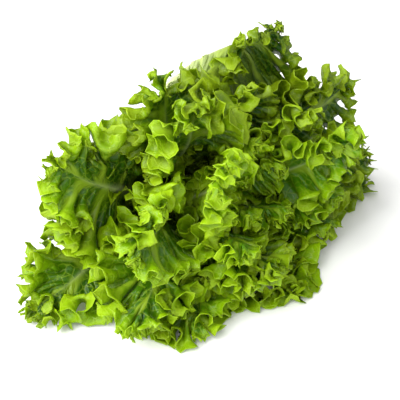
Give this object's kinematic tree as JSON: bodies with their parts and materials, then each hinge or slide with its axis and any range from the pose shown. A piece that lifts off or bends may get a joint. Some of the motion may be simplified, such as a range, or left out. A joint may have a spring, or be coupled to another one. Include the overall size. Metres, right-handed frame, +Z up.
{
  "type": "head of lettuce",
  "caption": "Head of frilly green leaf lettuce lying on its side: loose ruffled leaves fanning out from a short cut stem.",
  "frame": {"origin": "on the floor, under the middle of the head's footprint", "axes": "+Z up; the leaf tips fan out towards -Y and the cut stem faces +Y; +X is to the right seen from the leaf tips' side"},
  "size_m": [0.3448, 0.1872, 0.1847],
  "materials": {
    "leaf_green": "satin leaf, slightly waxy",
    "heart_green": "satin leaf, slightly waxy",
    "stem_white": "moist cut flesh"
  },
  "bodies": {
    "root": {"stem": "stem_white", "outer_leaf_01": "leaf_green", "outer_leaf_02": "leaf_green", "outer_leaf_03": "leaf_green", "outer_leaf_04": "leaf_green", "outer_leaf_05": "leaf_green", "outer_leaf_06": "leaf_green", "outer_leaf_07": "leaf_green", "outer_leaf_08": "leaf_green", "middle_leaf_01": "leaf_green", "middle_leaf_02": "leaf_green", "middle_leaf_03": "leaf_green", "middle_leaf_04": "leaf_green", "middle_leaf_05": "leaf_green", "middle_leaf_06": "leaf_green", "middle_leaf_07": "leaf_green", "middle_leaf_08": "leaf_green", "inner_leaf_01": "heart_green", "inner_leaf_02": "heart_green", "inner_leaf_03": "heart_green", "inner_leaf_04": "heart_green", "inner_leaf_05": "heart_green", "heart_leaf_01": "heart_green", "heart_leaf_02": "heart_green", "heart_leaf_03": "heart_green"}
  },
  "joints": []
}
